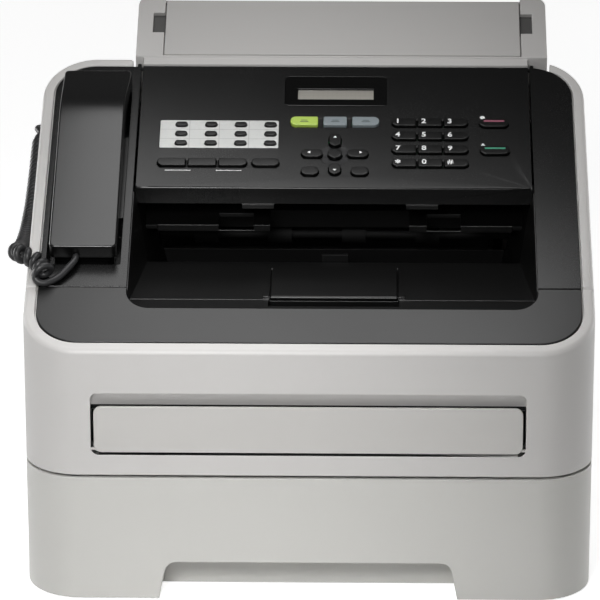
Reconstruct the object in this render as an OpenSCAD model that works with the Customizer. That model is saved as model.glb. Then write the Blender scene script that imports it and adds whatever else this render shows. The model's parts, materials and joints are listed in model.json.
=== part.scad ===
// Desktop laser fax machine with a corded handset, built from separate moulded parts.
// Millimetres. X to the right, Y to the rear, Z up. The origin is the middle of the
// footprint on the table. The front face, the deck and the control panel share one side profile.

/* [Body] */
// Width across the side covers
body_w = 368; // [366:0.5:370]
// Depth from the front face to the rear wall
body_d = 360; // [359:0.5:361]
// Height of the document unit above the table
body_h = 311; // [309:0.5:313]
// Height of the front face, where the sloping deck begins
front_h = 173.2; // [172.8:0.1:173.6]
// Slope of the deck and of the control panel, in degrees
deck_slope = 22; // [21.8:0.1:22.2]
// Radius of the corners, seen from above
corner_r = 36; // [34:1:38]
// Wall of the covers
wall = 2.5; // [2.3:0.1:2.7]
// Width of the light rim round the dark deck
rim_w = 7.4; // [7:0.1:7.8]

/* [Paper cassette] */
// Height of the front of the cassette
cassette_h = 85.6; // [84.5:0.1:86]
// Width of the grip opening along the bottom edge
grip_w = 191.4; // [180:1:200]
// Height of the grip opening
grip_h = 26.6; // [24:0.1:30]
// Width of the paper tray behind the front
tray_w = 250; // [244:1:252]
// Height of the tray's side walls
tray_h = 45; // [35:1:46]

/* [Front cover] */
// Height of the lower edge of the front cover
cover_z = 87.6; // [87.4:0.1:87.8]
// Width of the manual feed flap
flap_w = 276; // [270:1:282]
// Height of the manual feed flap
flap_h = 32.2; // [31:0.1:33]
// Height of the lower edge of the flap
flap_z = 103; // [102:0.1:103.5]

/* [Output bay] */
// Left edge of the bay
bay_left = -118.3; // [-118.6:0.1:-118]
// Right edge of the bay
bay_right = 147.7; // [147.4:0.1:148]
// Front edge of the bay
bay_front = -142; // [-144:0.5:-140]
// Width of the fold-out paper stop
stop_w = 82; // [70:1:84]
// Length of the fold-out paper stop
stop_l = 56; // [50:1:67]

/* [Control panel] */
// Front edge of the panel
panel_front = -32; // [-33:0.5:-31]
// Rear edge of the panel
panel_rear = 86; // [85.5:0.1:86.2]
// Depth of the panel housing
panel_t = 14; // [13.5:0.1:14.5]
// Height of the panel's front edge
panel_edge = 11.7; // [11.5:0.1:12]
// Height of the key tops above the panel
key_h = 1.9; // [1.2:0.1:2.4]
// Travel of the keys
key_travel = 0.8; // [0.4:0.1:0.9]

/* [Document unit] */
// Left side of the document unit
unit_left = -122.7; // [-123:0.1:-122]
// Right side of the document unit
unit_right = 160; // [159:0.1:160.2]

/* [Handset] */
// Middle of the handset, across the machine
handset_x = -147.8; // [-148:0.1:-147.6]
// Width of the handset
handset_w = 43.6; // [42:0.1:43.8]
// Length of the handset
handset_l = 186.2; // [184:0.1:186.4]
// Diameter of the handset cord
cord_d = 4.6; // [4:0.1:4.6]
// Outer diameter of the curly part of the cord
coil_d = 12.8; // [12:0.1:12.8]

/* [Hidden] */
$fn = 40;
far = 500; // reach of the cutting blocks
half_w = body_w / 2;
front_y = -body_d / 2;
rear_y = body_d / 2;
deck_rear = 93; // rear end of the sloping deck
seam_y = -123.5; // joint between the front cover and the parts behind it
seam_gap = 0.4; // half of the width of that joint
rim_t = 2.5; // thickness of the rim and of the deck plates
rim_gap = 1; // joint between the rim and the deck plates
lip_w = 2; // width of the lip that carries the deck plates
rear_corner_r = 14;
shoulder_z = 240; // height of the rear body just behind the deck
shoulder_slope = 9.8;
side_rear = 150; // joint between the side covers and the rear housing
foot_h = 3;
cassette_end = -144; // where the cassette front ends on the sides
fit = 0.05; // running clearance on the radius of a pin

function deck_z(y) = front_h + (y - front_y) * tan(deck_slope);
function deck_v(y) = (y - front_y) / cos(deck_slope);
function deck_point(v, w) = [front_y + v * cos(deck_slope) - w * sin(deck_slope),
                             front_h + v * sin(deck_slope) + w * cos(deck_slope)];
function shoulder(y) = shoulder_z - (y - deck_rear) * tan(shoulder_slope);

// Block between two corners
module block(a, b) {
  translate(a) cube(b - a);
}

// Outline in (Y, Z) drawn out along X
module along_x(x0, x1) {
  translate([x0, 0, 0]) rotate([90, 0, 90]) linear_extrude(x1 - x0) children();
}

// Outline in (X, Z) drawn out along Y
module along_y(y0, y1) {
  translate([0, y1, 0]) rotate([90, 0, 0]) linear_extrude(y1 - y0) children();
}

// Round bar along X
module bar_x(x0, x1, yz, r) {
  translate([x0, yz[0], yz[1]]) rotate([0, 90, 0]) cylinder(r = r, h = x1 - x0);
}

// Rectangle with round corners: radius ra at the low Y side and rb at the high Y side
module outline(x0, y0, x1, y1, ra, rb) {
  translate([x0 + ra, y0]) square([x1 - x0 - 2 * ra, y1 - y0 - rb]);
  translate([x0 + rb, y0 + ra]) square([x1 - x0 - 2 * rb, y1 - y0 - ra]);
  translate([x0, y0 + ra]) square([x1 - x0, y1 - y0 - ra - rb]);
  for (x = [x0 + ra, x1 - ra]) translate([x, y0 + ra]) circle(r = ra);
  for (x = [x0 + rb, x1 - rb]) translate([x, y1 - rb]) circle(r = rb);
}

// Frame whose X runs across the deck, Y up its slope and Z out of it
module on_deck() {
  translate([0, front_y, front_h]) rotate([deck_slope, 0, 0]) children();
}

module deck_layer(w0, w1) {
  on_deck() block([-far, -far, w0], [far, far, w1]);
}

// Upper body, which ends behind the deck, drawn in by inset
module upper_prism(inset, z0) {
  translate([0, 0, z0]) linear_extrude(far)
    outline(-half_w + inset, front_y + inset, half_w - inset, deck_rear - inset,
            corner_r - inset, corner_r - inset);
}

module upper_ring(band, z0) {
  difference() {
    upper_prism(0, z0);
    upper_prism(band, z0 - 1);
  }
}

// Lower body, which reaches to the rear wall
module lower_prism(inset, z0) {
  translate([0, 0, z0]) linear_extrude(far)
    outline(-half_w + inset, front_y + inset, half_w - inset, rear_y - inset,
            corner_r - inset, rear_corner_r - inset);
}

// Wall, rim and carrying lip of the upper body under the deck plane
module rimmed_wall(z0) {
  intersection() {
    union() {
      upper_ring(wall, z0);
      intersection() {
        upper_ring(rim_w, z0);
        deck_layer(-rim_t, far);
      }
      intersection() {
        upper_ring(rim_w + lip_w, z0);
        deck_layer(-2 * rim_t, -rim_t);
      }
    }
    deck_layer(-far, 0);
  }
}

/* --- Front cover, manual feed flap and front deck --- */

hinge_front = [front_y + 3.5, cover_z + 3.5]; // axis of the front cover
hinge_arm_x = 123; // middle of each hinge arm
flap_gap = 1.5;
flap_t = 2.4;
flap_axis = [front_y + 1.8, flap_z + 2];
feed_top = 144.3; // upper edge of the finger scoop over the flap
scoop_z = 130; // lower edge of the scoop's wall, behind the flap

module front_cover() {
  color("gainsboro") difference() {
    union() {
      intersection() {
        rimmed_wall(cover_z);
        block([-far, -far, cover_z], [far, seam_y - seam_gap, far]);
      }
      along_y(front_y + wall - 0.5, front_y + 15) difference() {
        outline(-flap_w / 2 - flap_gap - 2, flap_z - flap_gap - 2, flap_w / 2 + flap_gap + 2,
                feed_top + 2, 6, 6);
        feed_opening();
      }
      for (side = [-1, 1]) for (x = [-5.4, 3.4])
        bar_x(side * hinge_arm_x + x, side * hinge_arm_x + x + 2, hinge_front, 3.4);
    }
    along_y(front_y - 1, front_y + 20) feed_opening();
    for (side = [-1, 1]) block([side * hinge_arm_x - 3.3, front_y + 0.7, cover_z - 1],
                               [side * hinge_arm_x + 3.3, front_y + 12, cover_z + 7]);
    for (side = [-1, 1]) bar_x(side * (flap_w / 2 + 1) - 3.5, side * (flap_w / 2 + 1) + 3.5,
                               flap_axis, 1 + fit);
  }
  color("gainsboro") {
    for (side = [-1, 1])
      bar_x(side * hinge_arm_x - 4, side * hinge_arm_x + 4, hinge_front, 1.2);
    along_x(-flap_w / 2 - flap_gap - 1, flap_w / 2 + flap_gap + 1)
      polygon([[front_y, feed_top], [front_y + 4, feed_top - 4.5], [front_y + 9, scoop_z],
               [front_y + 11, scoop_z], [front_y + 11, feed_top + 1], [front_y, feed_top + 1]]);
  }
}

module feed_opening() {
  outline(-flap_w / 2 - flap_gap, flap_z - flap_gap, flap_w / 2 + flap_gap, feed_top, 5, 5);
}

module manual_feed_cover() {
  color("silver") {
    along_y(front_y, front_y + flap_t)
      outline(-flap_w / 2, flap_z, flap_w / 2, flap_z + flap_h, 5, 5);
    for (side = [-1, 1])
      bar_x(side * flap_w / 2 - 3, side * flap_w / 2 + 3, flap_axis, 1);
    along_y(front_y + flap_t, front_y + flap_t + 1.5)
      for (x = [-120, -60, 0, 60, 120])
        translate([x - 1, flap_z + 6]) square([2, flap_h - 9]);
  }
}

shelf_z = 187.6; // top of the bay's shelf at the front cover
shelf_end = [-48, 186]; // where the shelf drops away
bay_floor = [0, 158]; // foot of the drop
bay_rear = 10; // rear wall of the bay
bay_draft = 0.25; // lean of the bay's side walls
bay_corner_r = 15;

// Space of the output bay, grown on all sides by t
module bay_space(t) {
  intersection() {
    on_deck() translate([0, far, 0]) rotate([90, 0, 0]) linear_extrude(2 * far)
      polygon([[bay_left - t + 100 * bay_draft, -100], [bay_right + t - 100 * bay_draft, -100],
               [bay_right + t, 0], [bay_right + t, 40], [bay_left - t, 40], [bay_left - t, 0]]);
    along_x(-far, far)
      polygon([[front_y, shelf_z - t], [seam_y, shelf_z - t], [shelf_end[0], shelf_end[1] - t],
               [bay_floor[0], bay_floor[1] - t], [bay_rear + t, bay_floor[1] - t],
               [bay_rear + t, far], [front_y, far]]);
    translate([0, 0, 100]) linear_extrude(far)
      outline(bay_left - t, bay_front - t, bay_right + t, bay_rear + t, bay_corner_r + t, 1 + t);
  }
}

stop_x = 15.8; // middle of the paper stop
stop_notch_y = -135; // front of the finger notch under the paper stop
stop_axis = [-118.4, shelf_z - 0.5];
stop_t = 2.8;

module front_deck() {
  color("dimgray") difference() {
    union() {
      intersection() {
        upper_prism(rim_w + rim_gap, 100);
        deck_layer(-rim_t, 0);
      }
      intersection() {
        bay_space(wall);
        deck_layer(-far, 0);
      }
    }
    bay_space(0);
    block([-far, seam_y - seam_gap, 0], [far, far, far]);
    block([stop_x - stop_w / 2 - 1.3, stop_notch_y, 0], [stop_x + stop_w / 2 + 1.3, 0, shelf_z + 1]);
  }
}

/* --- Side covers and rear housing --- */

jack = [138, 218]; // middle of the handset jack in the left side, (Y, Z)

// Right-hand side cover; its rear rim ends at x_in
module side_cover(x_in) {
  intersection() {
    rimmed_wall(100);
    union() {
      block([half_w - 12, seam_y + seam_gap, 120], [far, 55, far]);
      block([x_in, 50, shoulder_z - 5], [far, far, far]);
    }
  }
  along_x(half_w - wall, half_w)
    polygon([[cassette_end + 0.8, foot_h], [side_rear, foot_h], [side_rear, shoulder(side_rear)],
             [55, shoulder(55)], [seam_y + seam_gap, shoulder_z - 4],
             [seam_y + seam_gap, cassette_h], [cassette_end + 0.8, cassette_h]]);
  intersection() {
    difference() {
      block([half_w - 40, 50, 0], [half_w, side_rear, far]);
      upper_prism(wall, 0);
      block([0, deck_rear, 0], [half_w - 12.4, far, far]);
    }
    along_x(0, half_w)
      polygon([[50, shoulder(50)], [side_rear, shoulder(side_rear)],
               [side_rear, shoulder(side_rear) - wall], [50, shoulder(50) - wall]]);
  }
}

// The wall stops at the deck plane
module trimmed_side_cover(x_in) {
  intersection() {
    side_cover(x_in);
    union() {
      deck_layer(-far, 0);
      block([-far, 40, 0], [far, far, shoulder_z + 8]);
    }
  }
}

module left_side_cover() {
  color("gainsboro") difference() {
    union() {
      mirror([1, 0, 0]) trimmed_side_cover(-unit_left + 1.4);
      block([-half_w + 1, jack[0] - 8, jack[1] - 8], [-half_w + 15, jack[0] + 8, jack[1] + 8]);
    }
    block([-half_w - 1, jack[0] - 5.3, jack[1] - 5.3], [-half_w + 12, jack[0] + 5.3, jack[1] + 5.3]);
  }
}

module right_side_cover() {
  color("gainsboro") difference() {
    trimmed_side_cover(unit_right + 1.4);
    for (n = [0:11])
      block([half_w - 5, -20 + n * 9, 110], [half_w + 5, -16 + n * 9, 150]);
  }
}

rear_door = [[-118, 72], [118, 188]]; // lower and upper corner of the rear cover, (X, Z)
rear_door_axis = [rear_y - 1.8, 74];
connector_place = [149, 62]; // middle of the connector panel, (X, Z)
connector_size = [36, 96];
screw_places = [[-150, 60], [-150, 190], [128, 200], [128, 130]]; // (X, Z) in the rear wall

module rear_housing() {
  color("gainsboro") difference() {
    union() {
      intersection() {
        union() {
          difference() {
            lower_prism(0, foot_h);
            lower_prism(wall, 0);
          }
          along_x(-half_w, half_w)
            polygon([[deck_rear + 0.4, shoulder(deck_rear)], [rear_y, shoulder(rear_y)],
                     [rear_y, shoulder(rear_y) - wall], [deck_rear + 0.4, shoulder(deck_rear) - wall]]);
        }
        lower_prism(0, 0);
        along_x(-half_w, half_w)
          polygon([[deck_rear + 0.4, foot_h], [rear_y, foot_h], [rear_y, shoulder(rear_y)],
                   [deck_rear + 0.4, shoulder(deck_rear + 0.4)]]);
        union() {
          block([-far, side_rear + 0.4, 0], [far, far, far]);
          block([-half_w + 12.6, deck_rear, 180], [half_w - 12.6, far, far]);
        }
      }
      intersection() {
        lower_prism(0, 0);
        block([-half_w, side_rear + 0.4, foot_h], [half_w, rear_y, foot_h + wall]);
      }
    }
    along_y(rear_y - 10, rear_y + 1)
      outline(rear_door[0][0] - 1.5, rear_door[0][1] - 1.5, rear_door[1][0] + 1.5,
              rear_door[1][1] + 1.5, 4, 4);
    for (side = [-1, 1])
      bar_x(side * 119 - 3.5, side * 119 + 3.5, rear_door_axis, 1 + fit);
    connector_hole();
    for (p = screw_places) translate([p[0], rear_y + 1, p[1]]) rotate([90, 0, 0]) {
      cylinder(r = 3.2, h = 3);
      cylinder(r = 1.6, h = 10);
    }
    for (n = [0:13])
      block([-100 + n * 15, rear_y - 5, 200], [-90 + n * 15, rear_y + 5, 204]);
  }
}

module connector_hole() {
  along_y(rear_y - 10, rear_y + 1)
    translate(connector_place - connector_size / 2) square(connector_size);
}

module rear_cover() {
  color("gainsboro") {
    along_y(rear_y - flap_t, rear_y)
      outline(rear_door[0][0], rear_door[0][1], rear_door[1][0], rear_door[1][1], 3, 3);
    for (side = [-1, 1])
      bar_x(side * 118 - 3, side * 118 + 3, rear_door_axis, 1);
    along_y(rear_y - 8, rear_y - flap_t)
      for (x = [-90, -45, 0, 45, 90])
        translate([x - 1, rear_door[0][1] + 10]) square([2, 90]);
  }
}

module connector_panel() {
  low = connector_place - connector_size / 2;
  color([0.12, 0.12, 0.13]) difference() {
    union() {
      along_y(rear_y - 2.2, rear_y - 0.2)
        translate(low + [0.3, 0.3]) square(connector_size - [0.6, 0.6]);
      block([low[0] + 2, rear_y - 22, low[1] + 6], [low[0] + 34, rear_y - 1, low[1] + 34]);
      block([low[0] + 8, rear_y - 18, low[1] + 44], [low[0] + 28, rear_y - 1, low[1] + 62]);
      block([low[0] + 3, rear_y - 18, low[1] + 70], [low[0] + 33, rear_y - 1, low[1] + 88]);
    }
    along_y(rear_y - 17, rear_y)
      outline(low[0] + 6, low[1] + 10, low[0] + 30, low[1] + 30, 1, 5);
    along_y(rear_y - 15, rear_y)
      translate([low[0] + 12, low[1] + 47.5]) square([12, 11]);
    for (x = [5, 20]) along_y(rear_y - 15, rear_y)
      translate([low[0] + x, low[1] + 74]) square([11, 10]);
  }
  color("silver") for (p = [[11, 17], [18, 23], [25, 17]])
    block([low[0] + p[0] - 1, rear_y - 18, low[1] + p[1] - 2],
          [low[0] + p[0] + 1, rear_y - 6, low[1] + p[1] + 2]);
}

module screws() {
  color("darkgray") for (p = screw_places)
    translate([p[0], rear_y - 0.3, p[1]]) rotate([90, 0, 0]) difference() {
      union() {
        cylinder(r = 3, h = 1.6);
        cylinder(r = 1.5, h = 26);
      }
      for (a = [0, 90]) rotate(a) block([-1.8, -0.4, -0.1], [1.8, 0.4, 1]);
    }
}

/* --- Deck plates, output bay and paper stop --- */

channel_x = [handset_x - handset_w / 2 - 2.3, handset_x + handset_w / 2 + 2.3];
handset_v = 85.5; // where the handset begins, up the slope
handset_end = handset_v + handset_l;
channel_v = [handset_v - 3, handset_end - 1.7];
channel_floor = -3;
well_floor = -20;
wells_v = [[channel_v[0], handset_v + 46], [handset_end - 58, channel_v[1]]];
panel_axis = deck_point(deck_v(panel_rear) - 2, -2);
flange_t = 2.5; // flanges beside the panel, which hold its pins
flange_end = 87.3;

module deck_plate() {
  intersection() {
    upper_prism(rim_w + rim_gap, 100);
    deck_layer(-rim_t, 0);
    block([-far, seam_y + seam_gap, 0], [far, far, far]);
  }
}

// Hollow between v[0] and v[1] from the floor to the top, with its rear corners of radius r, grown by t
module cradle_hollow(v, r, floor_w, top_w, t) {
  on_deck() translate([0, 0, floor_w - t]) linear_extrude(top_w - floor_w + t)
    outline(channel_x[0] - t, v[0] - t, channel_x[1] + t, v[1] + t, 1 + t, r + t);
}

module handset_cradle() {
  color([0.16, 0.16, 0.16]) difference() {
    union() {
      intersection() {
        deck_plate();
        block([-far, -far, 0], [bay_left, far, far]);
      }
      intersection() {
        on_deck() block([bay_left - flange_t, 0, -12], [bay_left, deck_v(flange_end), 0]);
        block([-far, bay_rear + 3, 0], [far, flange_end, far]);
      }
      cradle_hollow(channel_v, 16, channel_floor, 0, 2);
      cradle_hollow(wells_v[0], 1, well_floor, 0, 2);
      cradle_hollow(wells_v[1], 16, well_floor, 0, 2);
    }
    cradle_hollow(channel_v, 16, channel_floor, 1, 0);
    cradle_hollow(wells_v[0], 1, well_floor, 1, 0);
    cradle_hollow(wells_v[1], 16, well_floor, 1, 0);
    bar_x(bay_left - 3, bay_left + 1, panel_axis, 1.2 + fit);
  }
}

module right_top_panel() {
  color([0.16, 0.16, 0.16]) difference() {
    union() {
      intersection() {
        deck_plate();
        block([bay_right, -far, 0], [far, far, far]);
      }
      intersection() {
        on_deck() block([bay_right, 0, -12], [bay_right + flange_t, deck_v(flange_end), 0]);
        block([0, bay_rear + 3, 0], [far, flange_end, far]);
      }
    }
    bar_x(bay_right - 1, bay_right + 3, panel_axis, 1.2 + fit);
  }
}

chute_lip = [-25, 203.6]; // front edge of the document chute
chute_slope = 27;
side_plate_x = 155; // outer face of the side plates of the chassis
chute_wing_end = 40;
chute_t = wall / cos(chute_slope);

function chute_top(y) = chute_lip[1] + (y - chute_lip[0]) * tan(chute_slope);

// Sloping sheet from x0 to x1 and from y0 to y1, thicker by gap on both faces
module chute_sheet(x0, x1, y0, y1, gap = 0) {
  along_x(x0, x1)
    polygon([[y0, chute_top(y0) + gap], [y1, chute_top(y1) + gap],
             [y1, chute_top(y1) - chute_t - gap], [y0, chute_top(y0) - chute_t - gap]]);
}

tray_wall_top = 205; // top of the bay's rear wall

module output_tray() {
  stop_half = stop_w / 2 + 0.8;
  color([0.1, 0.1, 0.1]) difference() {
    union() {
      difference() {
        union() {
          intersection() {
            bay_space(wall);
            deck_layer(-far, -rim_t - 0.1);
          }
          block([-151.9, bay_rear, bay_floor[1] - wall], [151.9, bay_rear + wall, tray_wall_top]);
          block([stop_x - stop_half - 3, seam_y, shelf_z - 6], [stop_x + stop_half + 3, -46, shelf_z - 1.8]);
        }
        bay_space(0);
        block([-far, -far, 0], [far, seam_y + seam_gap, far]);
        block([-far, bay_rear - 0.1, tray_wall_top], [far, far, far]);
        chute_sheet(-far, far, chute_lip[0] - 0.4, far, 0.3);
        intersection() {
          deck_layer(-panel_t - 1, far);
          block([-far, panel_front - 0.6, 0], [far, far, far]);
        }
      }
      for (side = [-1, 1]) translate([stop_x + side * (stop_half + 2.2), 0, 0])
        block([-2, -121.5, shelf_z - 1], [2, -115, shelf_z + 1.6]);
      intersection() {
        block([stop_x - 9, -46, shelf_z - 8], [stop_x + 9, -42, shelf_z + 3]);
        bay_space(wall);
      }
    }
    block([stop_x - stop_half, -119.9, shelf_z - 2.1], [stop_x + stop_half, -118.4 + stop_l + 2, shelf_z + 1]);
    block([stop_x - stop_half, seam_y, 0], [stop_x + stop_half, -119.8, far]);
    bar_x(stop_x - stop_half - 4, stop_x + stop_half + 4, stop_axis, 0.8 + fit);
    block([-105, bay_rear - 1, 174.5], [134, bay_rear + wall + 1, 190]);
  }
}

module output_flap() {
  color([0.2, 0.2, 0.2]) {
    block([stop_x - stop_w / 2, stop_axis[0], stop_axis[1] - stop_t / 2],
          [stop_x + stop_w / 2, stop_axis[0] + stop_l, stop_axis[1] + stop_t / 2]);
    bar_x(stop_x - stop_w / 2, stop_x + stop_w / 2, stop_axis, stop_t / 2);
    bar_x(stop_x - stop_w / 2 - 3.6, stop_x + stop_w / 2 + 3.6, stop_axis, 0.8);
  }
}

roller_doc = [20, 219];

module document_chute() {
  color([0.09, 0.09, 0.09]) difference() {
    union() {
      chute_sheet(bay_left + 1.3, bay_right - 1.2, chute_lip[0], 80);
      chute_sheet(-side_plate_x, side_plate_x, bay_rear + 3, chute_wing_end);
      block([-103, chute_lip[0] - 1, chute_lip[1] - 4], [133.8, chute_lip[0] + 1.5, chute_lip[1] + 0.6]);
      for (x = [-72, 98])
        block([x, roller_doc[0] - 5, roller_doc[1] - 5], [x + 4, roller_doc[0] + 5, roller_doc[1] + 5]);
    }
    block([-27.6, -far, 0], [65, -5, 210]);
    for (x = [[-62, -38.8], [76.8, 99.5]])
      block([x[0], -far, chute_lip[1] - 3], [x[1], -15, far]);
    for (x = [-50, 5, 62]) block([x - 1, roller_doc[0] - 10, 0], [x + 21, roller_doc[0] + 10, far]);
    bar_x(-74, 104, roller_doc, 2.5 + fit);
  }
}

module document_roller() {
  color("darkgray") bar_x(-76, 106, roller_doc, 2.5);
  color([0.2, 0.2, 0.2]) for (x = [-50, 5, 62]) difference() {
    bar_x(x, x + 20, roller_doc, 8.5);
    bar_x(x - 1, x + 21, roller_doc, 2.4);
  }
}

/* --- Document unit and its support --- */

unit_base = [deck_rear + 0.4, deck_z(deck_rear) + 1.3]; // foot of the unit's slope, (Y, Z)
unit_rear = 150;
unit_slope = atan((body_h - unit_base[1]) / (unit_rear - unit_base[0]));
unit_l = (unit_rear - unit_base[0]) / cos(unit_slope);
lid_x = [-103.3, 141.7];
lid_t = 3;
lid_axis_u = unit_l - 5;
trim_y = 87.3; // front of the strip behind the control panel

module on_unit() {
  translate([0, unit_base[0], unit_base[1]]) rotate([unit_slope, 0, 0]) children();
}

function unit_profile(i) = [[unit_base[0] + i, shoulder(unit_base[0]) + 0.1],
                            [unit_base[0] + i, unit_base[1] - i / cos(unit_slope)],
                            [unit_rear - i, body_h - i / cos(unit_slope) - i * tan(unit_slope)],
                            [unit_rear - i, shoulder(unit_rear) + 0.1]];

module rear_top_cover() {
  color("silver") difference() {
    union() {
      intersection() {
        along_x(unit_left, unit_right) polygon(unit_profile(0));
        translate([0, 0, 100]) linear_extrude(far)
          outline(unit_left, deck_rear - 20, unit_right, unit_rear, 1, 7.5);
      }
      intersection() {
        deck_layer(-4, 0);
        block([panel_x[0], trim_y, 0], [panel_x[1], unit_base[0] + 1, far]);
      }
    }
    along_x(unit_left + wall, unit_right - wall)
      polygon([[unit_base[0] + wall, 0], [unit_base[0] + wall, unit_base[1] - 8],
               [unit_rear - wall, body_h - 8.5], [unit_rear - wall, 0]]);
    block([lid_x[0] + 9, 60, unit_base[1] - 24], [lid_x[1] - 9, unit_base[0] + 10, unit_base[1] - 8]);
    on_unit() {
      block([lid_x[0] - 0.6, 1.4, -lid_t - 0.4], [lid_x[1] + 0.6, far, far]);
      for (x = [lid_x[0] - 8.6, lid_x[1]])
        block([x, 25, -lid_t - 0.4], [x + 8.6, 45, far]);
      block([lid_x[0] + 9, 3, -20], [lid_x[1] - 9, 13, 1]);
      translate([lid_x[0] - 4, lid_axis_u, -lid_t / 2]) rotate([0, 90, 0])
        cylinder(r = 1.2 + fit, h = lid_x[1] - lid_x[0] + 8);
    }
  }
}

module document_support() {
  color("silver") on_unit() {
    block([lid_x[0], 2, -lid_t], [lid_x[1], lid_axis_u, 0]);
    translate([lid_x[0], lid_axis_u, -lid_t / 2]) rotate([0, 90, 0])
      cylinder(r = lid_t / 2, h = lid_x[1] - lid_x[0]);
    translate([lid_x[0] - 3, lid_axis_u, -lid_t / 2]) rotate([0, 90, 0])
      cylinder(r = 1.2, h = lid_x[1] - lid_x[0] + 6);
  }
}

/* --- Control panel and keys --- */

panel_x = [bay_left + 1.3, bay_right - 1.2];
panel_skin = 2.2;
key_gap = 0.3; // clearance round a key
key_flange = 1; // thickness of the edge that holds a key in
key_seat = panel_skin + 0.05 + key_flange;
board_top = -key_seat - key_travel - 0.1;
keys_x = 15.2; // middle of the display and of the menu keys
menu_v = 193; // middle of the menu keys, up the slope
dial_x = 79;
dial_v = 204.8;
dial_pitch = [17.5, 14];
dial_names = ["1", "2", "3", "4", "5", "6", "7", "8", "9", "star", "0", "hash"];
memory_x = -88.4; // first one-touch key
memory_v = 213.5; // middle row of one-touch keys
memory_pitch = [20, 9.6];
function_row = 183.8;
display = [68.5, 30.9]; // bezel
display_v = 259.6;
window = [51.4, 10.9];
window_v = 256.3;

// Key tables: [name, [x, v], [width, depth], left radius, right radius]
dial_keys = [for (n = [0:11])
  [str("dial_key_", dial_names[n]),
   [dial_x + (n % 3 - 1) * dial_pitch[0], dial_v + (1.5 - floor(n / 3)) * dial_pitch[1]],
   [16.2, 7.6], n % 3 == 0 ? 3.6 : 0.8, n % 3 == 2 ? 3.6 : 0.8]];
other_keys = [
  ["fax_key", [-5.8, 226.4], [18.6, 9], 4, 1],
  ["scan_key", [15.1, 226.4], [15.8, 9], 1, 1],
  ["copy_key", [35.7, 226.4], [18.2, 9], 1, 4],
  ["ok_key", [keys_x, menu_v], [9.6, 9.6], 4.79, 4.79],
  ["clear_key", [-1.4, 175.2], [11.6, 8], 3.4, 3.4],
  ["menu_key", [31.9, 175.2], [11.6, 8], 3.4, 3.4],
  ["stop_key", [122.2, 225.5], [19.6, 8.4], 4, 4],
  ["start_key", [122.4, 197.2], [19.6, 8.4], 4, 4]];
single_keys = concat(dial_keys, other_keys);
navigation = [["up", [keys_x, menu_v + 14.1], [8.2, 12.6], 4.05, 4.05],
              ["down", [keys_x, menu_v - 15.6], [8.2, 11], 4.05, 4.05],
              ["left", [keys_x - 15.3, menu_v + 0.3], [14.2, 7.6], 3.5, 3.5],
              ["right", [keys_x + 15.3, menu_v + 0.3], [14.2, 7.6], 3.5, 3.5]];
functions = [for (n = [0:3])
  ["function", [n < 3 ? -93.9 + n * 20.45 : -31.1, function_row], [n < 3 ? 19 : 18.2, 7.2],
   n == 0 || n == 3 ? 3.2 : 0.8, n > 1 ? 3.2 : 0.8]];
memories = [for (row = [-1:1]) for (column = [0:3])
  ["memory", [memory_x + column * memory_pitch[0], memory_v + row * memory_pitch[1]],
   [8, 4.2], 2.05, 2.05]];

module key_outline(key, grow) {
  w = key[2][0] + 2 * grow;
  d = key[2][1] + 2 * grow;
  translate(key[1]) rotate(-90) outline(-d / 2, -w / 2, d / 2, w / 2, key[3] + grow, key[4] + grow);
}

module key_cap(key) {
  on_deck() {
    translate([0, 0, -key_seat]) linear_extrude(key_seat + key_h) key_outline(key, 0);
    translate([key[1][0], key[1][1], -key_seat + key_flange / 2])
      cube([key[2][0], key[2][1] + 1.6, key_flange], center = true);
  }
}

module navigation_keys() {
  color([0.13, 0.13, 0.13]) {
    for (key = navigation) key_cap(key);
    on_deck() translate([keys_x, menu_v, -key_seat]) difference() {
      cylinder(r = 11.5, h = key_flange);
      translate([0, 0, -1]) cylinder(r = 7.8, h = 3);
    }
  }
}

module function_keys() {
  color([0.13, 0.13, 0.13]) {
    for (key = functions) key_cap(key);
    on_deck() block([functions[0][1][0], function_row - 2, -key_seat],
                    [functions[3][1][0], function_row + 2, -key_seat + key_flange]);
  }
}

module one_touch_keys() {
  color([0.13, 0.13, 0.13]) {
    for (key = memories) key_cap(key);
    on_deck() block([memory_x - 4, memory_v - 12, -key_seat],
                    [memory_x + 3 * memory_pitch[0] + 4, memory_v + 12, -key_seat + key_flange]);
  }
}

// Housing of the panel, drawn in by i
module panel_shape(i, x0, x1) {
  drop = i / cos(deck_slope);
  edge_z = deck_z(panel_front) - panel_edge + i;
  edge_y = panel_front + (panel_t - panel_edge + i - drop) / tan(deck_slope);
  along_x(x0, x1)
    polygon([[panel_front + i, deck_z(panel_front + i) - drop],
             [panel_axis[0] - i, deck_z(panel_axis[0] - i) - drop],
             [panel_axis[0] - i, deck_z(panel_axis[0] - i) - panel_t + drop],
             [edge_y, edge_z], [panel_front + i, edge_z]]);
}

module control_panel() {
  color([0.2, 0.2, 0.2]) difference() {
    union() {
      panel_shape(0, panel_x[0], panel_x[1]);
      bar_x(panel_x[0], panel_x[1], panel_axis, 2);
      bar_x(panel_x[0] - 3, panel_x[1] + 3, panel_axis, 1.2);
      for (x = [-46.2, 62.8])
        block([x, panel_front - 1.6, 218.4], [x + 21.4, panel_front + 3, 221.4]);
      on_deck() translate([-62.8 - 40.1, memory_v - 14.4, -0.5]) linear_extrude(1)
        outline(0, 0, 80.2, 28.8, 1.5, 1.5);
    }
    panel_shape(panel_skin, panel_x[0] + 2, panel_x[1] - 2);
    on_deck() {
      translate([0, 0, -4]) linear_extrude(10)
        for (key = concat(single_keys, navigation, functions, memories)) key_outline(key, key_gap);
      translate([keys_x - display[0] / 2 - 0.2, display_v - display[1] / 2 - 0.2, -1.2])
        linear_extrude(5) outline(0, 0, display[0] + 0.4, display[1] + 0.4, 2.7, 2.7);
      translate([keys_x - 28, window_v - 8.5, -4]) cube([56, 17, 10]);
      translate([keys_x, menu_v, -0.6]) cylinder(r = 10.4, h = 5);
    }
  }
}

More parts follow.
